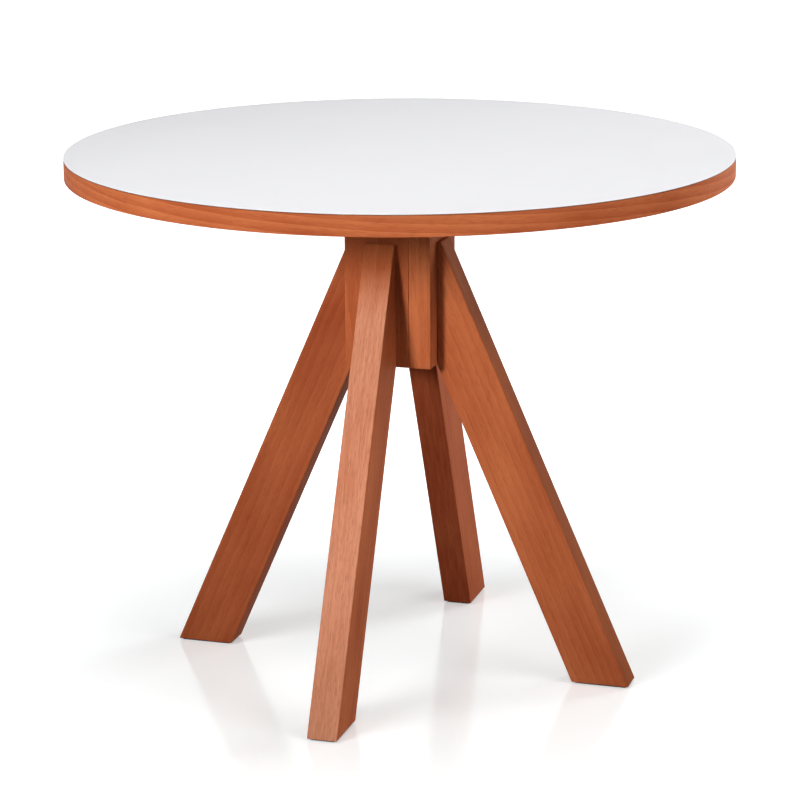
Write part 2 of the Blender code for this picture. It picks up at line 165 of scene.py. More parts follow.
world = bpy.data.worlds.new("white_surround")
scene.world = world
world.use_nodes = True
tree = world.node_tree
tree.nodes.clear()
direction = add_node(tree, "ShaderNodeTexCoord").outputs["Generated"]
height = add_node(tree, "ShaderNodeSeparateXYZ", {0: direction}).outputs["Z"]
glow = add_node(tree, "ShaderNodeMapRange", {
    "Value": height, "To Min": SIDE_LIGHT, "To Max": OVERHEAD_LIGHT,
}).outputs[0]
level = add_node(tree, "ShaderNodeMix", {"Factor": seen_directly(tree), "A": glow, "B": SEEN_WHITE})
light = add_node(tree, "ShaderNodeBackground", {"Color": linear("FFFFFF"), "Strength": level.outputs[0]})
add_node(tree, "ShaderNodeOutputWorld", {"Surface": light.outputs[0]})
print("surround from", SIDE_LIGHT, "at the sides to", OVERHEAD_LIGHT, "overhead")

# %% Hang the soft boxes
OPEN_BEAM = 180.0


def hang_lamp(name, around, above, distance, aim, size, power, spread=OPEN_BEAM):
    """Hang a round soft box. Angles are in degrees, around from the front leg and above the floor.

    Distance, aim and size are in metres, and power is in watts.
    """
    turn = math.radians(around)
    rise = math.radians(above)
    reach = distance * math.cos(rise)
    away = Vector((reach * math.sin(turn), -reach * math.cos(turn), distance * math.sin(rise)))
    bpy.ops.object.light_add(type="AREA", location=Vector(aim) + away)
    lamp = bpy.context.object
    lamp.name = name
    lamp.data.shape = "DISK"
    lamp.data.size = size
    lamp.data.energy = power
    lamp.data.spread = math.radians(spread)
    lamp.rotation_euler = away.to_track_quat("Z", "Y").to_euler()
    print(name, "at", [round(c, 2) for c in lamp.location])
    return lamp


main_lamp = hang_lamp("main_soft_box", around=-20.0, above=15.4, distance=6.0, aim=(-0.04, 0.0, 0.72),
                      size=1.3, power=8.7, spread=24.0)
hang_lamp("front_soft_box", around=10.0, above=48.0, distance=2.6, aim=(0.0, 0.0, 0.70),
          size=1.5, power=13.5)
right_lamp = hang_lamp("right_soft_box", around=80.0, above=28.0, distance=3.6, aim=(0.0, 0.0, 0.60),
                       size=1.4, power=78.0)
left_lamp = hang_lamp("left_soft_box", around=-75.0, above=32.0, distance=3.6, aim=(0.0, 0.0, 0.60),
                      size=1.8, power=12.0)
hang_lamp("back_soft_box", around=140.0, above=12.0, distance=3.6, aim=(0.0, 0.0, 0.40),
          size=2.0, power=62.0)
hang_lamp("overhead_soft_box", around=0.0, above=90.0, distance=1.7, aim=(0.0, 0.0, 0.75),
          size=1.5, power=2.2)

# %% [markdown]
# ## The floor
# The floor is a sheet of glossy white board, which mirrors the feet faintly. To the camera it is white, but
# it bounces light as a grey, so that the wood keeps its deep shades. Far from the table it also glows
# enough to come out plain white, and near the table less, so that the shadows stay. From below it is clear,
# so that the table's underside can be looked at.

# %% Lay the floor
FLOOR_SIZE = 60.0
FLOOR_NEAR = 0.30
FLOOR_FAR = 1.15
FLOOR_LIFT = 0.33
FLOOR_ROUGHNESS = 0.14
FLOOR_IOR = 1.45

floor_material, tree, shader = new_material("white_sweep")
seen = seen_directly(tree)
paint = add_node(tree, "ShaderNodeMix", {
    MIX_FACTOR: seen, MIX_A: linear("989898"), MIX_B: linear("F6FBFB"),
}, data_type="RGBA").outputs[MIX_OUT]
place = add_node(tree, "ShaderNodeTexCoord").outputs["Object"]
away = add_node(tree, "ShaderNodeVectorMath", {0: place}, operation="LENGTH").outputs["Value"]
lift = add_node(tree, "ShaderNodeMapRange", {
    "Value": away, "From Min": FLOOR_NEAR, "From Max": FLOOR_FAR, "To Min": FLOOR_LIFT,
}, interpolation_type="SMOOTHSTEP").outputs[0]
glow = add_node(tree, "ShaderNodeMath", {0: lift, 1: seen}, operation="MULTIPLY").outputs[0]
tree.links.new(paint, shader.inputs["Base Color"])
tree.links.new(glow, shader.inputs["Emission Strength"])
shader.inputs["Emission Color"].default_value = linear("FFFFFF")
shader.inputs["Roughness"].default_value = FLOOR_ROUGHNESS
shader.inputs["IOR"].default_value = FLOOR_IOR
under = add_node(tree, "ShaderNodeNewGeometry").outputs["Backfacing"]
clear = add_node(tree, "ShaderNodeBsdfTransparent").outputs[0]
either = add_node(tree, "ShaderNodeMixShader", {0: under, 1: shader.outputs[0], 2: clear}).outputs[0]
tree.links.new(either, tree.nodes["Material Output"].inputs["Surface"])

bpy.ops.object.select_all(action="DESELECT")
bpy.ops.mesh.primitive_plane_add(size=FLOOR_SIZE)
floor = bpy.context.object
floor.name = "studio_floor"
floor.data.materials.append(floor_material)
print("floor", FLOOR_SIZE, "m wide")

# %% [markdown]
# ## Flags
# A photographer holds a black card, a flag, where a lamp's light should not fall. Light linking does the
# same: it names what a lamp lights. The main box and the two side boxes shape the legs, but their shadows
# on the floor would be hard and uneven, so all three are flagged off it. Two boxes that light nothing else
# then fill the floor from both sides.

# %% Flag three lamps off the floor, and light the floor by itself
flagged_floor = bpy.data.collections.new("flagged_floor")
flagged_floor.objects.link(floor)
flagged_floor.collection_objects[0].light_linking.link_state = "EXCLUDE"
for lamp in (main_lamp, right_lamp, left_lamp):
    lamp.light_linking.receiver_collection = flagged_floor
floor_alone = bpy.data.collections.new("floor_alone")
floor_alone.objects.link(floor)
floor_lamps = (
    hang_lamp("floor_soft_box_right", around=75.0, above=30.0, distance=3.6, aim=(0.0, 0.0, 0.0),
              size=2.8, power=48.0),
    hang_lamp("floor_soft_box_left", around=-32.0, above=28.0, distance=3.6, aim=(0.0, 0.0, 0.0),
              size=2.0, power=66.0),
)
for lamp in floor_lamps:
    lamp.light_linking.receiver_collection = floor_alone
print("three lamps flagged off the floor,", len(floor_lamps), "for the floor alone")

# %% [markdown]
# ## Stained cherry
# The legs, the hub and the rim band are one wood: cherry, stained reddish brown and sprayed with a satin
# lacquer. A plank is a cut from a log, so its figure is solid: rings round the log's heart, drawn out along
# the grain, crossed by fine fibres and short dark pores, with the stain taken up a little unevenly. Made as
# a solid pattern it also gives the right end grain where a plank is cut. Each plank turns the pattern to
# its own length and shifts it to its own place in the log. Real fibres and pores are under half a
# millimetre wide, which the photograph can't show, so the fibres are drawn in bundles and the pores 1.2 mm
# wide. On three legs one face has colours of its own up to 0.53 to 0.60 m, where the rim's shadow begins: the
# front leg's outer face is paler, a painted sheen of the main lamp, and the right leg's outer face and the
# rear leg's inner face are darker, painted shade. So a plank can give a face its own two colours.

# %% Draw the cherry's figure
MM = 1000
RING_SPACING = 0.011
RING_STRETCH = 0.10
RING_WANDER = 2.5
FIBRE_WIDTH = 0.0036
FIBRE_LENGTH = 0.060
PORE_WIDTH = 0.0012
PORE_LENGTH = 0.013
PORE_STARTS = 0.52
PORE_FULL = 0.68
STAIN_PATCH = 0.070
STAIN_STRETCH = 0.35
GRAIN_SWAY = 0.014
SWAY_WIDTH = 1 / 7
SWAY_STRETCH = 0.25
# The rings of a Wave texture are this many metres apart at a scale of 1
WAVE_AT_ONE = 2 * math.pi / 20


def cherry_patterns(tree, plank):
    """Draw rings, fibres, pores and stain patches from plank, a position in metres with Z along the grain."""
    drawn_out = add_node(tree, "ShaderNodeVectorMath", {0: plank, 1: (1.0, 1.0, SWAY_STRETCH)},
                         operation="MULTIPLY").outputs[0]
    sway = add_node(tree, "ShaderNodeTexNoise", {
        "Vector": drawn_out, "Scale": 1 / SWAY_WIDTH, "Detail": 2.0,
    }).outputs["Color"]
    centred = add_node(tree, "ShaderNodeVectorMath", {0: sway, 1: (0.5, 0.5, 0.5)},
                       operation="SUBTRACT").outputs[0]
    place = add_node(tree, "ShaderNodeVectorMath", {0: centred, 1: (GRAIN_SWAY, GRAIN_SWAY, 0.0), 2: plank},
                     operation="MULTIPLY_ADD").outputs[0]
    along = add_node(tree, "ShaderNodeVectorMath", {0: place, 1: (1.0, 1.0, RING_STRETCH)},
                     operation="MULTIPLY").outputs[0]
    rings = add_node(tree, "ShaderNodeTexWave", {
        "Vector": along, "Scale": WAVE_AT_ONE / RING_SPACING, "Distortion": RING_WANDER, "Detail": 3.0,
        "Detail Scale": 0.6, "Detail Roughness": 0.6,
    }, wave_type="RINGS", rings_direction="Z", wave_profile="SAW").outputs["Fac"]
    fine = (1 / FIBRE_WIDTH, 1 / FIBRE_WIDTH, 1 / FIBRE_LENGTH)
    fibre_place = add_node(tree, "ShaderNodeVectorMath", {0: place, 1: fine}, operation="MULTIPLY").outputs[0]
    fibres = add_node(tree, "ShaderNodeTexNoise", {
        "Vector": fibre_place, "Scale": 1.0, "Detail": 4.0, "Roughness": 0.65,
    }).outputs[0]
    short = (1 / PORE_WIDTH, 1 / PORE_WIDTH, 1 / PORE_LENGTH)
    pore_place = add_node(tree, "ShaderNodeVectorMath", {0: place, 1: short}, operation="MULTIPLY").outputs[0]
    pore_noise = add_node(tree, "ShaderNodeTexNoise", {
        "Vector": pore_place, "Scale": 1.0, "Detail": 1.0,
    }).outputs[0]
    pores = add_node(tree, "ShaderNodeMapRange", {
        "Value": pore_noise, "From Min": PORE_STARTS, "From Max": PORE_FULL,
    }).outputs[0]
    patch_place = add_node(tree, "ShaderNodeVectorMath", {0: plank, 1: (1.0, 1.0, STAIN_STRETCH)},
                           operation="MULTIPLY").outputs[0]
    patches = add_node(tree, "ShaderNodeTexNoise", {
        "Vector": patch_place, "Scale": 1 / STAIN_PATCH, "Detail": 2.0,
    }).outputs[0]
    return rings, fibres, pores, patches


print("rings", RING_SPACING * MM, "mm apart, fibres", FIBRE_WIDTH * MM, "mm wide")

# %% Stain and lacquer the cherry
CHERRY_DARK = "944728"
CHERRY_LIGHT = "B5653E"
PORE_DARK = "6A2C17"
STAIN_REDDENS = 1.4
FIBRES_SHOW = 0.22
RINGS_SHOW = 0.14
STAIN_SHOWS = 0.90
FIGURE_REACH = 0.25
MOTTLE_SHOWS = 0.90
MOTTLE_REACH = 0.26
PORES_SHOW = 0.22
# Pores show a little more on a face with a painted sheen or painted shade
PORES_SHOW_PAINTED_LIGHT = 0.26
LACQUER_SHINY = 0.42
LACQUER_DULL = 0.58
LACQUER_IOR = 1.5
LACQUER_SPECULAR = 0.01
DENT_DEPTH = 0.0002
DENTS_SHOW = 0.12


def toned(code, tone):
    """Stain a colour: a tone under one is a deeper stain, which takes more green and blue away than red."""
    red, green, blue, alpha = linear(code)
    return (red * tone, green * tone ** STAIN_REDDENS, blue * tone ** STAIN_REDDENS, alpha)


def cherry_figure(tree, shader, plank, tone, streaked=1.0, painted_light_colours=None, painted_light_share=None):
    """Give a shader cherry of some tone, drawn from plank, and return its colour's socket.

    Where the share for one face is above 0, the colour turns to that face's dark and light colours, a painted
    sheen or painted shade.
    """
    rings, fibres, pores, patches = cherry_patterns(tree, plank)
    mix = add_node(tree, "ShaderNodeMath", {0: fibres, 1: FIBRES_SHOW * streaked},
                   operation="MULTIPLY").outputs[0]
    mix = add_node(tree, "ShaderNodeMath", {0: rings, 1: RINGS_SHOW * streaked, 2: mix},
                   operation="MULTIPLY_ADD").outputs[0]
    mix = add_node(tree, "ShaderNodeMath", {0: patches, 1: STAIN_SHOWS, 2: mix},
                   operation="MULTIPLY_ADD").outputs[0]
    middle = ((FIBRES_SHOW + RINGS_SHOW) * streaked + STAIN_SHOWS) / 2
    mix = add_node(tree, "ShaderNodeMapRange", {
        "Value": mix, "From Min": middle - FIGURE_REACH, "From Max": middle + FIGURE_REACH,
    }).outputs[0]
    stained = add_node(tree, "ShaderNodeMix", {
        MIX_FACTOR: mix, MIX_A: toned(CHERRY_DARK, tone), MIX_B: toned(CHERRY_LIGHT, tone),
    }, data_type="RGBA").outputs[MIX_OUT]
    pores_show = PORES_SHOW
    # One face's painted sheen or painted shade: two colours, mottled like the wood, mixed in over that face
    if painted_light_colours:
        mottle = add_node(tree, "ShaderNodeMath", {0: patches, 1: MOTTLE_SHOWS, 2: fibres},
                          operation="MULTIPLY_ADD").outputs[0]
        middle = (1.0 + MOTTLE_SHOWS) / 2
        streaks = add_node(tree, "ShaderNodeMapRange", {
            "Value": mottle, "From Min": middle - MOTTLE_REACH, "From Max": middle + MOTTLE_REACH,
        }).outputs[0]
        painted_light_colour = add_node(tree, "ShaderNodeMix", {
            MIX_FACTOR: streaks, MIX_A: linear(painted_light_colours[0]), MIX_B: linear(painted_light_colours[1]),
        }, data_type="RGBA").outputs[MIX_OUT]
        stained = add_node(tree, "ShaderNodeMix", {
            MIX_FACTOR: painted_light_share, MIX_A: stained, MIX_B: painted_light_colour,
        }, data_type="RGBA").outputs[MIX_OUT]
        pores_show = add_node(tree, "ShaderNodeMapRange", {
            "Value": painted_light_share, "To Min": PORES_SHOW, "To Max": PORES_SHOW_PAINTED_LIGHT,
        }).outputs[0]
    pore_share = add_node(tree, "ShaderNodeMath", {0: pores, 1: pores_show}, operation="MULTIPLY").outputs[0]
    colour = add_node(tree, "ShaderNodeMix", {
        MIX_FACTOR: pore_share, MIX_A: stained, MIX_B: toned(PORE_DARK, tone),
    }, data_type="RGBA").outputs[MIX_OUT]
    tree.links.new(colour, shader.inputs["Base Color"])

    rough = add_node(tree, "ShaderNodeMapRange", {
        "Value": fibres, "To Min": LACQUER_SHINY, "To Max": LACQUER_DULL,
    }).outputs[0]
    tree.links.new(rough, shader.inputs["Roughness"])
    dents = add_node(tree, "ShaderNodeMath", {0: pores, 1: -1.0, 2: fibres},
                     operation="MULTIPLY_ADD").outputs[0]
    bump = add_node(tree, "ShaderNodeBump", {
        "Height": dents, "Strength": DENTS_SHOW, "Distance": DENT_DEPTH,
    }).outputs[0]
    tree.links.new(bump, shader.inputs["Normal"])
    shader.inputs["IOR"].default_value = LACQUER_IOR
    shader.inputs["Specular IOR Level"].default_value = LACQUER_SPECULAR
    return colour


print("cherry from", CHERRY_DARK, "to", CHERRY_LIGHT)

# %% Cut one plank of cherry
FACE_DEPTH = 0.0008
# Heights in metres over which one face's painted sheen or painted shade fades out, where the rim's shadow
# begins
FACE_FADES = 0.53
FACE_ENDS = 0.60


def cherry_plank(name, turn, cut_from, tone, face=None):
    """Cherry for one plank: turn lays the plank upright in the log, and cut_from is where in the log it was.

    One face may carry a painted sheen or painted shade in colours of its own, up to where that fades. It is
    given as its place on the plank's X, which way along X it looks (1 or -1), and its dark and light colours.
    """
    material, tree, shader = new_material(name)
    place = add_node(tree, "ShaderNodeTexCoord").outputs["Object"]
    upright = add_node(tree, "ShaderNodeMapping",
                       {"Vector": place, "Rotation": turn.to_euler(), "Location": cut_from}).outputs[0]
    if not face:
        cherry_figure(tree, shader, upright, tone)
        return material
    face_place, looks, dark, light = face
    surface = face_place + cut_from[0]
    out = add_node(tree, "ShaderNodeSeparateXYZ", {0: upright}).outputs["X"]
    skin = add_node(tree, "ShaderNodeMapRange",
                    {"Value": out, "From Min": surface - looks * FACE_DEPTH, "From Max": surface}).outputs[0]
    height = add_node(tree, "ShaderNodeSeparateXYZ", {0: place}).outputs["Z"]
    low_down = add_node(tree, "ShaderNodeMapRange",
                        {"Value": height, "From Min": FACE_ENDS, "From Max": FACE_FADES}).outputs[0]
    share = add_node(tree, "ShaderNodeMath", {0: skin, 1: low_down}, operation="MULTIPLY").outputs[0]
    cherry_figure(tree, shader, upright, tone, painted_light_colours=(dark, light), painted_light_share=share)
    return material


# A face's own colours are a painted sheen or a painted shade
print("a face's own stain fades out from", FACE_FADES, "to", FACE_ENDS, "m up")

# %% [markdown]
# ## Modelling by hand, in code
# Every piece starts from a primitive, is shaped in edit mode, and is finished with modifiers that are
# applied. An operator acts on all that is selected, so everything is deselected first, and edges and faces
# are then picked by where they lie. A finished piece has its place in its mesh and its object at the
# origin, as the solids have: applying its transform does that.

# %% Helpers for shaping a piece
MERGE = 1e-6
EASE_STEPS = 3


def begin_edit():
    """Go into edit mode with every vertex of the active piece selected."""
    bpy.ops.object.mode_set(mode="EDIT")
    bpy.ops.mesh.select_mode(type="VERT")
    bpy.ops.mesh.select_all(action="SELECT")


def pick(kind, wanted):
    """In edit mode, select the vertices, edges or faces that wanted() accepts, and nothing else."""
    bpy.ops.mesh.select_mode(type=kind)
    bpy.ops.mesh.select_all(action="DESELECT")
    mesh = bpy.context.object.data
    shape = bmesh.from_edit_mesh(mesh)
    parts = {"VERT": shape.verts, "EDGE": shape.edges, "FACE": shape.faces}
    for part in parts[kind]:
        part.select_set(wanted(part))
    bmesh.update_edit_mesh(mesh)


def stands(edge):
    """Tell whether an edge rises from one end to the other."""
    return abs(edge.verts[0].co.z - edge.verts[1].co.z) > MERGE


def ease_edges(width):
    """Round every edge of the active piece that its faces turn at."""
    begin_edit()
    bpy.ops.mesh.bevel(offset=width, segments=EASE_STEPS, affect="EDGES")
    bpy.ops.object.mode_set(mode="OBJECT")


def block(low, high):
    """Add a box between two corners, with its size applied."""
    bpy.ops.object.select_all(action="DESELECT")
    size = Vector(high) - Vector(low)
    bpy.ops.mesh.primitive_cube_add(size=1.0, location=(Vector(low) + Vector(high)) / 2, scale=size)
    bpy.ops.object.transform_apply()
    return bpy.context.object


def lathe(profile, steps):
    """Draw a profile of (radius, height) points from one vertex, and spin it round Z."""
    bpy.ops.object.select_all(action="DESELECT")
    (radius, height), *rest = profile
    bpy.ops.mesh.primitive_plane_add(size=MERGE, location=(radius, 0.0, height))
    bpy.ops.object.transform_apply(location=True, rotation=False, scale=False)
    begin_edit()
    bpy.ops.mesh.merge(type="CENTER")
    for next_radius, next_height in rest:
        step = (next_radius - radius, 0.0, next_height - height)
        bpy.ops.mesh.extrude_region_move(TRANSFORM_OT_translate={"value": step})
        radius, height = next_radius, next_height
    bpy.ops.mesh.select_all(action="SELECT")
    bpy.ops.mesh.spin(steps=steps, angle=2 * math.pi, center=(0.0, 0.0, 0.0), axis=(0.0, 0.0, 1.0))
    bpy.ops.mesh.select_all(action="SELECT")
    bpy.ops.mesh.remove_doubles(threshold=MERGE)
    bpy.ops.mesh.normals_make_consistent(inside=False)
    bpy.ops.object.mode_set(mode="OBJECT")
    return bpy.context.object


print("edges are eased in", EASE_STEPS, "steps")

# %% Helpers for placing and finishing a piece
SIDES = ("front", "right", "rear", "left")
LEVELS = ("lower", "upper")
SMOOTH_BELOW = math.radians(40.0)


def turn_of(side):
    """Angle from the right side, where each repeated piece is modelled, to another side of the table."""
    return (SIDES.index(side) - SIDES.index("right")) * QUARTER_TURN


def pick_piece(piece):
    """Select one piece alone, and make it the active one."""
    bpy.ops.object.select_all(action="DESELECT")
    piece.select_set(True)
    bpy.context.view_layer.objects.active = piece


def move_to(piece, location, rotation=(0.0, 0.0, 0.0)):
    """Put a piece in its place, and leave its object at the origin."""
    pick_piece(piece)
    piece.location = location
    piece.rotation_euler = rotation
    bpy.ops.object.transform_apply()
    return piece


def combine(piece, tool, operation):
    """Cut a tool out of a piece, or join it on, and throw the tool away."""
    pick_piece(piece)
    bpy.ops.object.modifier_add(type="BOOLEAN")
    boolean = piece.modifiers[-1]
    boolean.operation = operation
    boolean.object = tool
    bpy.ops.object.modifier_apply(modifier=boolean.name)
    bpy.data.objects.remove(tool)


def smooth(piece):
    """Shade round stretches smooth, and keep flat faces flat up to their eased edges."""
    pick_piece(piece)
    bpy.ops.object.shade_smooth_by_angle(angle=SMOOTH_BELOW)
    bpy.ops.object.modifier_add(type="WEIGHTED_NORMAL")
    weighted = piece.modifiers[-1]
    weighted.keep_sharp = True
    bpy.ops.object.modifier_apply(modifier=weighted.name)


def copy_to(piece, name, turn, lift=0.0):
    """Copy a finished piece, mesh and all, to another side or height of the table."""
    pick_piece(piece)
    bpy.ops.object.duplicate(linked=False)
    twin = bpy.context.object
    twin.name = name
    twin.data.name = name
    return move_to(twin, (0.0, 0.0, lift), (0.0, 0.0, turn))


def dress(piece, node, *finishes):
    """Give a piece its finishes, and let it stand for its solid."""
    for finish in finishes:
        piece.data.materials.append(finish)
    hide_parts(node)
    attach(piece, "root")


print("sides", {side: round(math.degrees(turn_of(side))) for side in SIDES})

# %% [markdown]
# ## The laminate sheet
# The top is faced with high-pressure laminate: paper soaked in resin and pressed, under a thin cool white
# decor layer. The white goes right out to the rim, and the cut edge shows the brown kraft core as a fine
# dark line above the band. A cylinder of many sides gives the disc, an inset keeps its face flat up to the
# rim, and a small bevel eases the edge. The pressed face has a faint pearl grain, drawn a little coarser
# than real, which softens its shine.

# %% Laminate finishes
PEARL_GRAIN = 0.0016
PEARL_RELIEF = 0.0001
PEARL_SHOWS = 0.05
CLOUD_SIZE = 0.2
LAMINATE_SHINY = 0.40
LAMINATE_DULL = 0.52
LAMINATE_SPECULAR = 0.35
KRAFT_FIBRE = 0.0025
KRAFT_ROUGHNESS = 0.55

laminate_white, tree, shader = new_material("white_pressed_laminate")
place = add_node(tree, "ShaderNodeTexCoord").outputs["Object"]
clouds = add_node(tree, "ShaderNodeTexNoise", {"Vector": place, "Scale": 1 / CLOUD_SIZE, "Detail": 3.0})
pearl = add_node(tree, "ShaderNodeTexNoise", {"Vector": place, "Scale": 1 / PEARL_GRAIN, "Detail": 2.0})
white = add_node(tree, "ShaderNodeMix", {
    MIX_FACTOR: clouds.outputs[0], MIX_A: linear("F0F0F4"), MIX_B: linear("F4F4F7"),
}, data_type="RGBA")
rough = add_node(tree, "ShaderNodeMapRange", {
    "Value": pearl.outputs[0], "To Min": LAMINATE_SHINY, "To Max": LAMINATE_DULL,
})
bump = add_node(tree, "ShaderNodeBump", {
    "Height": pearl.outputs[0], "Strength": PEARL_SHOWS, "Distance": PEARL_RELIEF,
})
tree.links.new(white.outputs[MIX_OUT], shader.inputs["Base Color"])
tree.links.new(rough.outputs[0], shader.inputs["Roughness"])
tree.links.new(bump.outputs[0], shader.inputs["Normal"])
shader.inputs["Specular IOR Level"].default_value = LAMINATE_SPECULAR

kraft_edge, tree, shader = new_material("kraft_laminate_edge")
place = add_node(tree, "ShaderNodeTexCoord").outputs["Object"]
plies = add_node(tree, "ShaderNodeTexNoise", {"Vector": place, "Scale": 1 / KRAFT_FIBRE, "Detail": 2.0})
brown = add_node(tree, "ShaderNodeMix", {
    MIX_FACTOR: plies.outputs[0], MIX_A: linear("24140D"), MIX_B: linear("3A2418"),
}, data_type="RGBA")
tree.links.new(brown.outputs[MIX_OUT], shader.inputs["Base Color"])
shader.inputs["Roughness"].default_value = KRAFT_ROUGHNESS
print("pearl grain", PEARL_GRAIN * MM, "mm")

# %% Model the sheet
RIM_STEPS = 288
SHEET_EASE = 0.0003
SHEET_INSET = 0.012
# A face looks up where its normal's Z is over the first, and outwards where it is under the second
FACES_UP = 0.9
FACES_OUT = 0.3

sheet_low, sheet_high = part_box("top_laminate")
rim_radius = sheet_high.x
sheet_depth = sheet_high.z - sheet_low.z
bpy.ops.object.select_all(action="DESELECT")
bpy.ops.mesh.primitive_cylinder_add(vertices=RIM_STEPS, radius=rim_radius, depth=sheet_depth,
                                    location=(0.0, 0.0, (sheet_low.z + sheet_high.z) / 2))
sheet = bpy.context.object
sheet.name = "laminate_sheet"
bpy.ops.object.transform_apply(location=True)
begin_edit()
pick("EDGE", lambda edge: all(vert.co.z > sheet_high.z - MERGE for vert in edge.verts))
bpy.ops.mesh.bevel(offset=SHEET_EASE, segments=2, affect="EDGES")
pick("FACE", lambda face: face.normal.z > FACES_UP and len(face.verts) == RIM_STEPS)
bpy.ops.mesh.inset(thickness=SHEET_INSET)
bpy.ops.object.mode_set(mode="OBJECT")
smooth(sheet)
dress(sheet, "top_laminate", laminate_white, kraft_edge)
for face in sheet.data.polygons:
    face.material_index = 1 if abs(face.normal.z) < FACES_OUT else 0
print("sheet", round(2 * rim_radius * MM), "mm across,", round(sheet_depth * MM, 1), "mm thick")

# %% [markdown]
# ## The rim band
# A strip of cherry is bent round the rim and glued, its two ends meeting at the rear, so its grain runs
# round the table. It is made as it is on the bench: one cross-section, its lower edge eased, is swept round
# by a spin that stops a hair short of a full turn. For the grain the rim is unrolled: the angle round the
# axis, times the radius, is the length along the strip, counted from the front so that the jump falls where
# the ends meet. The figure climbs a little along the strip, as in a strip sawn at a slight angle, and a
# dark line marks the glue under the laminate.

# %% Band finish
BAND_TONE = 1.10
BAND_STREAKED = 2.0
BAND_SLANT = 0.05
STRIP_PLACE = 0.35
GLUE_LINE = 0.0012
GLUE_LINE_SHOWS = 0.40

band_cherry, tree, shader = new_material("cherry_rim_band")
place = add_node(tree, "ShaderNodeTexCoord").outputs["Object"]
parts = add_node(tree, "ShaderNodeSeparateXYZ", {0: place}).outputs
forward = add_node(tree, "ShaderNodeMath", {0: parts["Y"], 1: -1.0}, operation="MULTIPLY").outputs[0]
angle = add_node(tree, "ShaderNodeMath", {0: parts["X"], 1: forward}, operation="ARCTAN2").outputs[0]
length = add_node(tree, "ShaderNodeMath", {0: angle, 1: rim_radius}, operation="MULTIPLY").outputs[0]
slant = add_node(tree, "ShaderNodeMath", {0: length, 1: BAND_SLANT, 2: parts["Z"]}, operation="MULTIPLY_ADD")
strip = add_node(tree, "ShaderNodeCombineXYZ", {
    "X": slant.outputs[0], "Y": STRIP_PLACE, "Z": length,
}).outputs[0]
strip_colour = cherry_figure(tree, shader, strip, BAND_TONE, BAND_STREAKED)
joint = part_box("edge_band")[1].z
glue_line = add_node(tree, "ShaderNodeMapRange", {
    "Value": parts["Z"], "From Min": joint - GLUE_LINE, "From Max": joint - GLUE_LINE / 2,
    "To Max": GLUE_LINE_SHOWS,
}).outputs[0]
lined = add_node(tree, "ShaderNodeMix", {
    MIX_FACTOR: glue_line, MIX_A: strip_colour, MIX_B: linear("5A2A14"),
}, data_type="RGBA").outputs[MIX_OUT]
tree.links.new(lined, shader.inputs["Base Color"])
print("band unrolls to", round(2 * math.pi * rim_radius, 2), "m")

# %% Model the band
BAND_EASE = 0.0004
BAND_END_GAP = 0.0004
CORE_GAP = 0.0003

band_low, band_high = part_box("edge_band")
core_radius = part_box("top_core")[1].x
band_inner = core_radius + CORE_GAP
band_foot = Vector((0.0, rim_radius, band_low.z))
bpy.ops.object.select_all(action="DESELECT")
bpy.ops.mesh.primitive_plane_add(size=1.0, rotation=(0.0, QUARTER_TURN, 0.0))
band = bpy.context.object
band.name = "rim_band"
band.scale = (band_high.z - band_low.z, rim_radius - band_inner, 1.0)
band.location = (0.0, (band_inner + rim_radius) / 2, (band_low.z + band_high.z) / 2)
bpy.ops.object.transform_apply()
begin_edit()
pick("VERT", lambda vert: (vert.co - band_foot).length < BAND_EASE)
bpy.ops.mesh.bevel(offset=BAND_EASE, segments=3, affect="VERTICES")
bpy.ops.mesh.select_all(action="SELECT")
bpy.ops.mesh.spin(steps=RIM_STEPS, angle=2 * math.pi - BAND_END_GAP / rim_radius, center=(0.0, 0.0, 0.0),
                  axis=(0.0, 0.0, 1.0))
bpy.ops.mesh.select_all(action="SELECT")
bpy.ops.mesh.normals_make_consistent(inside=False)
bpy.ops.object.mode_set(mode="OBJECT")
smooth(band)
dress(band, "edge_band", band_cherry)
print("band", round((band_high.z - band_low.z) * MM, 1), "mm high")

# %% [markdown]
# ## The legs
# Each leg is a plank, sawn upright where it seats on the hub and level at the foot, with a small blunt end
# at the top. It is made the same way: a long box is leaned to the leg's angle and cut with three bisecting
# planes. The bolts' inserts, the dowel and the glide's peg have their holes in it. One leg is modelled on
# the right side and copied round, and each copy gets its own cut of cherry.

# %% Model one leg
LEG_WIDTH = 0.0757
FOOT_REACH = 0.343
PLANK_SPARE = 0.10
LEG_EASE = 0.0014

leg_low, leg_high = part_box("leg_right")
hub_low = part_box("hub_board_right")[0]
leg_run = FOOT_REACH - leg_low.x
leg_rise = hub_low.z - leg_low.z
leg_lean = math.acos(LEG_WIDTH / math.hypot(leg_run, leg_rise)) - math.atan2(leg_rise, leg_run)
along_leg = Vector((-math.sin(leg_lean), 0.0, math.cos(leg_lean)))
out_of_leg = Vector((math.cos(leg_lean), 0.0, math.sin(leg_lean)))
toe = Vector((FOOT_REACH, (leg_low.y + leg_high.y) / 2, leg_low.z))
plank_length = (leg_high.z - leg_low.z) / math.cos(leg_lean) + 2 * PLANK_SPARE
plank_middle = toe + along_leg * (plank_length / 2 - PLANK_SPARE) - out_of_leg * LEG_WIDTH / 2
half_plank = Vector((LEG_WIDTH, leg_high.y - leg_low.y, plank_length)) / 2

leg = block(-half_plank, half_plank)
move_to(leg, plank_middle, (0.0, -leg_lean, 0.0))
cuts = (
    (leg_low, (0.0, 0.0, 1.0)),
    (leg_low, (1.0, 0.0, 0.0)),
    (leg_high, (0.0, 0.0, -1.0)),
)
for point, kept_side in cuts:
    begin_edit()
    bpy.ops.mesh.bisect(plane_co=point, plane_no=kept_side, use_fill=True, clear_inner=True)
    bpy.ops.object.mode_set(mode="OBJECT")
ease_edges(LEG_EASE)
print("leg leans", round(math.degrees(leg_lean), 2), "degrees and is", [round(c, 4) for c in leg.dimensions])

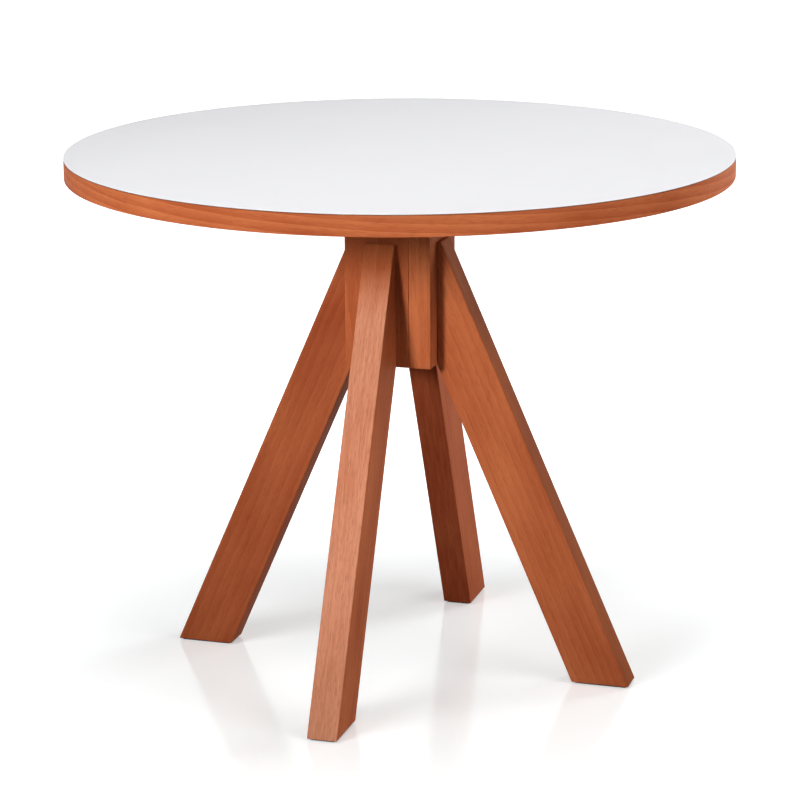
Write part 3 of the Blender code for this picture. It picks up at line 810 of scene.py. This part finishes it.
# %% Bore the leg
HOLE_GAP = 0.0003
HOLE_MOUTH = 0.002
HOLE_STEPS = 32
PEG_RADIUS = 0.003
LYING = (0.0, QUARTER_TURN, 0.0)


def bore(piece, radius, length, location, rotation=(0.0, 0.0, 0.0)):
    """Cut a round hole, open at its location and running up, or along X when its rotation is LYING."""
    tool = lathe([(0.0, -HOLE_MOUTH), (radius, -HOLE_MOUTH), (radius, length), (0.0, length)], HOLE_STEPS)
    move_to(tool, location, rotation)
    combine(piece, tool, "DIFFERENCE")


for node in ("threaded_insert_right_lower", "threaded_insert_right_upper", "leg_dowel_right"):
    low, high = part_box(node)
    mouth = (leg_low.x, toe.y, (low.z + high.z) / 2)
    bore(leg, (high.y - low.y) / 2 + HOLE_GAP, high.x - leg_low.x + HOLE_GAP, mouth, LYING)
glide_low, glide_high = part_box("foot_glide_right")
peg_place = ((glide_low.x + glide_high.x) / 2, toe.y, leg_low.z)
bore(leg, PEG_RADIUS + HOLE_GAP, glide_high.z - leg_low.z + HOLE_GAP, peg_place)
smooth(leg)
print("leg has", len(leg.data.polygons), "faces")

# %% Copy the leg round the hub
LOG_PLACES = {
    "front": (-0.17, 0.06, 2.52),
    "right": (-0.13, -0.05, 2.13),
    "rear": (-0.15, 0.09, 3.53),
    "left": (-0.19, -0.08, 6.64),
}
LEG_TONES = {"front": 1.08, "right": 1.05, "rear": 0.88, "left": 0.90}
outer_face = out_of_leg.dot(toe)
inner_face = outer_face - LEG_WIDTH
# One face of three legs has colours of its own: the front leg's outer face is paler, a painted sheen of the
# main lamp, and the right leg's outer face and the rear leg's inner face are darker, painted shade.
PAINTED_LIGHT_FACES = {
    "front": (outer_face, 1.0, "B97354", "D29172"),
    "right": (outer_face, 1.0, "763A1B", "8C4822"),
    "rear": (inner_face, -1.0, "702F19", "894529"),
    "left": None,
}
for side in SIDES:
    plank = copy_to(leg, f"leg_plank_{side}", turn_of(side))
    upright = Matrix.Rotation(leg_lean, 3, "Y") @ Matrix.Rotation(-turn_of(side), 3, "Z")
    cherry = cherry_plank(f"cherry_leg_{side}", upright, LOG_PLACES[side], LEG_TONES[side],
                          PAINTED_LIGHT_FACES[side])
    dress(plank, f"leg_{side}", cherry)
bpy.data.objects.remove(leg)
print("four legs in place")

# %% [markdown]
# ## The hub boards
# Four short boards stand round a square hollow, each covering the end of the next, so that one upright seam
# shows on each face. Their grain runs upright. One box with eased edges gets the two bolt holes and the
# dowel hole through its face and the screw hole down its end, and is copied round like the legs.

# %% Model the hub boards
WOOD_EASE = 0.0008
BOLT_RADIUS = 0.004
HUB_SCREW_RADIUS = 0.0025
HUB_TONE = 1.08
HUB_LOG_PLACES = {
    "front": (0.10, 0.08, 0.8),
    "right": (0.14, -0.03, 2.5),
    "rear": (0.12, 0.11, 3.9),
    "left": (0.08, -0.06, 5.4),
}

board_low, board_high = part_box("hub_board_right")
board = block(board_low, board_high)
ease_edges(WOOD_EASE)
for level in LEVELS:
    low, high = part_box(f"leg_bolt_right_{level}")
    mouth = (board_low.x, toe.y, (low.z + high.z) / 2)
    bore(board, BOLT_RADIUS + HOLE_GAP, board_high.x - board_low.x + HOLE_MOUTH, mouth, LYING)
low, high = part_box("leg_dowel_right")
dowel_end = (low.x - HOLE_GAP + HOLE_MOUTH, toe.y, (low.z + high.z) / 2)
bore(board, (high.y - low.y) / 2 + HOLE_GAP, board_high.x - low.x, dowel_end, LYING)
low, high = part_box("hub_screw_right")
screw_end = ((low.x + high.x) / 2, (low.y + high.y) / 2, low.z - HOLE_GAP + HOLE_MOUTH)
bore(board, HUB_SCREW_RADIUS + HOLE_GAP, board_high.z - low.z, screw_end)
smooth(board)
for side in SIDES:
    plank = copy_to(board, f"hub_plank_{side}", turn_of(side))
    upright = Matrix.Rotation(-turn_of(side), 3, "Z")
    cherry = cherry_plank(f"cherry_hub_{side}", upright, HUB_LOG_PLACES[side], HUB_TONE)
    dress(plank, f"hub_board_{side}", cherry)
bpy.data.objects.remove(board)
print("four hub boards", [round(c, 4) for c in board_high - board_low])

# %% [markdown]
# ## The mounting plate
# A square of birch plywood with its corners cut off sits between the hub and the top, and only shows from
# low down. Plywood is thin sheets of birch with the grain turned in every second one, so its pattern is
# chosen by height: the faces show one sheet, and the edges show them all as fine stripes.

# %% Plywood finish
PLY = 0.0014
PLY_FIBRE = 0.002
PLY_FIBRE_LENGTH = 0.06
EVERY_SECOND = 2.0
CROSSED_DARKENS = 0.4
PLY_ROUGHNESS = 0.65
MIX_VECTOR_A = 4
MIX_VECTOR_B = 5
MIX_VECTOR_OUT = 1

plywood, tree, shader = new_material("birch_plywood_raw")
place = add_node(tree, "ShaderNodeTexCoord").outputs["Object"]
ply_height = add_node(tree, "ShaderNodeSeparateXYZ", {0: place}).outputs["Z"]
ply_count = add_node(tree, "ShaderNodeMath", {0: ply_height, 1: PLY}, operation="DIVIDE").outputs[0]
ply_number = add_node(tree, "ShaderNodeMath", {0: ply_count}, operation="FLOOR").outputs[0]
crossed = add_node(tree, "ShaderNodeMath", {0: ply_number, 1: EVERY_SECOND},
                   operation="FLOORED_MODULO").outputs[0]
grain_x = add_node(tree, "ShaderNodeVectorMath",
                   {0: place, 1: (1 / PLY_FIBRE_LENGTH, 1 / PLY_FIBRE, 1 / PLY_FIBRE)}, operation="MULTIPLY")
grain_y = add_node(tree, "ShaderNodeVectorMath",
                   {0: place, 1: (1 / PLY_FIBRE, 1 / PLY_FIBRE_LENGTH, 1 / PLY_FIBRE)}, operation="MULTIPLY")
grain_place = add_node(tree, "ShaderNodeMix", {
    MIX_FACTOR: crossed, MIX_VECTOR_A: grain_x.outputs[0], MIX_VECTOR_B: grain_y.outputs[0],
}, data_type="VECTOR").outputs[MIX_VECTOR_OUT]
grain = add_node(tree, "ShaderNodeTexNoise", {
    "Vector": grain_place, "Scale": 1.0, "Detail": 3.0,
}).outputs[0]
pale = add_node(tree, "ShaderNodeMix", {
    MIX_FACTOR: grain, MIX_A: linear("B98F62"), MIX_B: linear("D6B487"),
}, data_type="RGBA").outputs[MIX_OUT]
cross_share = add_node(tree, "ShaderNodeMath", {0: crossed, 1: CROSSED_DARKENS},
                       operation="MULTIPLY").outputs[0]
sheets = add_node(tree, "ShaderNodeMix", {
    MIX_FACTOR: cross_share, MIX_A: pale, MIX_B: linear("8E6238"),
}, data_type="RGBA").outputs[MIX_OUT]
tree.links.new(sheets, shader.inputs["Base Color"])
shader.inputs["Roughness"].default_value = PLY_ROUGHNESS
print("plies", PLY * MM, "mm")

# %% Model the plate
PLATE_CORNER = 0.040
TOP_SCREW_RADIUS = 0.00225
UPSIDE_DOWN = (math.pi, 0.0, 0.0)


def countersink(piece, node, shank, head_down):
    """Cut the hole of a countersunk screw, whose head is at its lower or its upper end."""
    low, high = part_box(node)
    head = (high.x - low.x) / 2 + HOLE_GAP
    neck = shank + HOLE_GAP
    length = high.z - low.z + HOLE_GAP
    tool = lathe([
        (0.0, -HOLE_MOUTH), (head, -HOLE_MOUTH), (head, 0.0), (neck, head - neck), (neck, length),
        (0.0, length),
    ], HOLE_STEPS)
    head_place = low.z if head_down else high.z
    rotation = (0.0, 0.0, 0.0) if head_down else UPSIDE_DOWN
    move_to(tool, ((low.x + high.x) / 2, (low.y + high.y) / 2, head_place), rotation)
    combine(piece, tool, "DIFFERENCE")


plate_low, plate_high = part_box("mounting_plate")
plate = block(plate_low, plate_high)
plate.name = "plywood_plate"
begin_edit()
pick("EDGE", stands)
bpy.ops.mesh.bevel(offset=PLATE_CORNER, segments=1, affect="EDGES")
bpy.ops.object.mode_set(mode="OBJECT")
ease_edges(WOOD_EASE)
for side in SIDES:
    countersink(plate, f"hub_screw_{side}", HUB_SCREW_RADIUS, head_down=False)
    for number in (1, 2):
        countersink(plate, f"top_screw_{side}_{number}", TOP_SCREW_RADIUS, head_down=True)
smooth(plate)
dress(plate, "mounting_plate", plywood)
print("plate", [round(c, 4) for c in plate.dimensions], "with", len(plate.data.polygons), "faces")

# %% [markdown]
# ## Hardware
# The bolts are black oxide socket heads put in from inside the hollow hub, on bright zinc washers. Yellow
# zinc screws hold the plate to the top. All are turned parts, so each is one profile spun round, with its
# key cut by a six-sided bar. Every second face round a bolt's head is sunk a little, which gives the
# gripping ridges. Plating is never even, so each metal has a mottled colour and shine. A duller
# mottle suits the core's fibreboard, the balancing sheet, the dowels' beech and the glides' nylon.

# %% Hardware finishes
def mottled(name, dark, light, grain, dull, shiny, metallic=0.0):
    """A finish that varies between two colours and two roughnesses over a grain given in metres."""
    material, tree, shader = new_material(name)
    place = add_node(tree, "ShaderNodeTexCoord").outputs["Object"]
    spots = add_node(tree, "ShaderNodeTexNoise", {
        "Vector": place, "Scale": 1 / grain, "Detail": 3.0,
    }).outputs[0]
    colour = add_node(tree, "ShaderNodeMix", {
        MIX_FACTOR: spots, MIX_A: linear(dark), MIX_B: linear(light),
    }, data_type="RGBA").outputs[MIX_OUT]
    rough = add_node(tree, "ShaderNodeMapRange", {"Value": spots, "To Min": dull, "To Max": shiny}).outputs[0]
    tree.links.new(colour, shader.inputs["Base Color"])
    tree.links.new(rough, shader.inputs["Roughness"])
    shader.inputs["Metallic"].default_value = metallic
    return material


black_oxide = mottled("black_oxide_steel", "16161A", "2A2A2E",
                      grain=0.002, dull=0.50, shiny=0.35, metallic=1.0)
bright_zinc = mottled("bright_zinc_plate", "A9ACB0", "C9CCD0",
                      grain=0.003, dull=0.40, shiny=0.25, metallic=1.0)
yellow_zinc = mottled("yellow_zinc_plate", "B08A3E", "D3B468",
                      grain=0.002, dull=0.42, shiny=0.28, metallic=1.0)
plain_brass = mottled("turned_brass", "B08D46", "CDAF66",
                      grain=0.002, dull=0.40, shiny=0.28, metallic=1.0)
beech = mottled("beech_dowel_wood", "B98A5C", "D2A878", grain=0.0015, dull=0.75, shiny=0.60)
fibreboard = mottled("fibreboard_core", "8C6B48", "A98860", grain=0.0012, dull=0.90, shiny=0.75)
grey_balance = mottled("grey_balancing_laminate", "A8A49E", "B4B0AA", grain=0.004, dull=0.62, shiny=0.52)
black_nylon = mottled("black_nylon", "0E0E0F", "1A1A1B", grain=0.0010, dull=0.62, shiny=0.50)
print("eight plain finishes")

# %% Turn the bolts
BOLT_HEAD = 0.0065
BOLT_HEAD_HEIGHT = 0.008
BOLT_CHAMFER = 0.0008
BOLT_KEY = 0.006
BOLT_KEY_DEPTH = 0.004
BOLT_STEPS = 48
GRIP_DEPTH = 0.00025
GRIP_MARGIN = GRIP_DEPTH / 4
KEY_SIDES = 6


def cut_key(piece, width, depth, top):
    """Sink a six-sided key hole into a head that faces down at height top."""
    across_corners = width / math.cos(math.pi / KEY_SIDES)
    bpy.ops.object.select_all(action="DESELECT")
    bpy.ops.mesh.primitive_cylinder_add(vertices=KEY_SIDES, radius=across_corners / 2, depth=2 * depth,
                                        location=(0.0, 0.0, top))
    tool = bpy.context.object
    bpy.ops.object.transform_apply(location=True)
    combine(piece, tool, "DIFFERENCE")


def grips(face):
    """Accept every second face round the side of a bolt's head."""
    middle = face.calc_center_median()
    count = math.floor(math.atan2(middle.y, middle.x) / (2 * math.pi) * BOLT_STEPS)
    on_head = abs(face.normal.z) < FACES_OUT and -BOLT_HEAD_HEIGHT < middle.z < 0.0
    return on_head and count % 2 == 0


bolt_low, bolt_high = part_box("leg_bolt_right_lower")
level_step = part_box("leg_bolt_right_upper")[0].z - bolt_low.z


def copy_to_levels(piece, name, node, finish):
    """Copy a bolt or washer to both levels of every side, dress the copies, and throw the first away."""
    for side in SIDES:
        for lift, level in zip((0.0, level_step), LEVELS):
            twin = copy_to(piece, f"{name}_{side}_{level}", turn_of(side), lift)
            dress(twin, f"{node}_{side}_{level}", finish)
    bpy.data.objects.remove(piece)


bolt_length = bolt_high.x - bolt_low.x - BOLT_HEAD_HEIGHT
bolt = lathe([
    (0.0, -BOLT_HEAD_HEIGHT), (BOLT_HEAD - BOLT_CHAMFER, -BOLT_HEAD_HEIGHT),
    (BOLT_HEAD, BOLT_CHAMFER - BOLT_HEAD_HEIGHT), (BOLT_HEAD, -BOLT_CHAMFER), (BOLT_HEAD - BOLT_CHAMFER, 0.0),
    (BOLT_RADIUS, 0.0), (BOLT_RADIUS, bolt_length - BOLT_CHAMFER), (BOLT_RADIUS - BOLT_CHAMFER, bolt_length),
    (0.0, bolt_length),
], BOLT_STEPS)
begin_edit()
pick("FACE", grips)
bpy.ops.mesh.inset(thickness=GRIP_MARGIN, depth=-GRIP_DEPTH, use_individual=True)
bpy.ops.object.mode_set(mode="OBJECT")
cut_key(bolt, BOLT_KEY, BOLT_KEY_DEPTH, -BOLT_HEAD_HEIGHT)
smooth(bolt)
move_to(bolt, (bolt_high.x - bolt_length, toe.y, (bolt_low.z + bolt_high.z) / 2), LYING)
bolt_faces = len(bolt.data.polygons)
copy_to_levels(bolt, "socket_bolt", "leg_bolt", black_oxide)
print("eight bolts,", round(bolt_length * MM, 1), "mm under the head, of", bolt_faces, "faces each")

# %% Turn the washers
WASHER_EASE = 0.0002

washer_low, washer_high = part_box("bolt_washer_right_lower")
washer_outer = (washer_high.y - washer_low.y) / 2
washer_inner = BOLT_RADIUS + HOLE_GAP
washer_depth = washer_high.x - washer_low.x
washer = lathe([
    (washer_inner, 0.0), (washer_outer - WASHER_EASE, 0.0), (washer_outer, WASHER_EASE),
    (washer_outer, washer_depth - WASHER_EASE), (washer_outer - WASHER_EASE, washer_depth),
    (washer_inner, washer_depth), (washer_inner, 0.0),
], BOLT_STEPS)
smooth(washer)
move_to(washer, (washer_low.x, toe.y, (washer_low.z + washer_high.z) / 2), LYING)
washer_faces = len(washer.data.polygons)
copy_to_levels(washer, "zinc_washer", "bolt_washer", bright_zinc)
print("eight washers of", washer_faces, "faces each")

# %% Turn the screws
SCREW_RIM = 0.0003
SCREW_KEY = 0.003
SCREW_KEY_DEPTH = 0.0015

screw_low, screw_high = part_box("top_screw_right_1")
screw_head = (screw_high.x - screw_low.x) / 2
screw_length = screw_high.z - screw_low.z
screw = lathe([
    (0.0, 0.0), (screw_head, 0.0), (screw_head, SCREW_RIM),
    (TOP_SCREW_RADIUS, screw_head - TOP_SCREW_RADIUS + SCREW_RIM),
    (TOP_SCREW_RADIUS, screw_length - 2 * TOP_SCREW_RADIUS), (0.0, screw_length),
], HOLE_STEPS)
cut_key(screw, SCREW_KEY, SCREW_KEY_DEPTH, 0.0)
smooth(screw)
screw_faces = len(screw.data.polygons)
for number in (1, 2):
    low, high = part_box(f"top_screw_right_{number}")
    placed = copy_to(screw, f"placed_screw_{number}", 0.0)
    move_to(placed, ((low.x + high.x) / 2, (low.y + high.y) / 2, low.z))
    for side in SIDES:
        twin = copy_to(placed, f"plate_screw_{side}_{number}", turn_of(side))
        dress(twin, f"top_screw_{side}_{number}", yellow_zinc)
    bpy.data.objects.remove(placed)
bpy.data.objects.remove(screw)
print("eight plate screws,", round(screw_length * MM, 1), "mm long, of", screw_faces, "faces each")

# %% [markdown]
# ## The foot glides
# Under each foot is a thin black nylon pad on a peg, set in from the edges of the wood, and it shows as a
# dark line on the floor. A flat box gets rounded corners and an eased lower edge, and a turned peg is
# joined on top.

# %% Model the glides
GLIDE_PAD = 0.002
GLIDE_CORNER = 0.003
GLIDE_EASE = 0.0005

glide = block(glide_low, (glide_high.x, glide_high.y, GLIDE_PAD))
begin_edit()
pick("EDGE", stands)
bpy.ops.mesh.bevel(offset=GLIDE_CORNER, segments=4, affect="EDGES")
pick("EDGE", lambda edge: all(vert.co.z < MERGE for vert in edge.verts))
bpy.ops.mesh.bevel(offset=GLIDE_EASE, segments=2, affect="EDGES")
bpy.ops.object.mode_set(mode="OBJECT")
peg_top = glide_high.z
peg = lathe([
    (0.0, GLIDE_PAD / 2), (PEG_RADIUS, GLIDE_PAD / 2), (PEG_RADIUS, peg_top - GLIDE_EASE),
    (PEG_RADIUS - GLIDE_EASE, peg_top), (0.0, peg_top),
], HOLE_STEPS)
move_to(peg, (peg_place[0], peg_place[1], 0.0))
combine(glide, peg, "UNION")
smooth(glide)
for side in SIDES:
    twin = copy_to(glide, f"nylon_glide_{side}", turn_of(side))
    dress(twin, f"foot_glide_{side}", black_nylon)
bpy.data.objects.remove(glide)
print("four glides", [round(c, 4) for c in glide_high - glide_low])

# %% [markdown]
# ## The hidden pieces
# The fibreboard core, the balancing sheet under it, the dowels, the inserts and the hub screws are shown as
# they were packed, because the other pieces cover all of them but the sheet. They only need their finishes.

# %% Finish the pieces that stay as packed
kept = {"top_core": fibreboard, "backing_sheet": grey_balance}
for side in SIDES:
    kept[f"leg_dowel_{side}"] = beech
    kept[f"hub_screw_{side}"] = yellow_zinc
    for level in LEVELS:
        kept[f"threaded_insert_{side}_{level}"] = plain_brass
for node, finish in kept.items():
    nodes[node].material_slots[0].material = finish
print(len(kept), "pieces kept as packed")
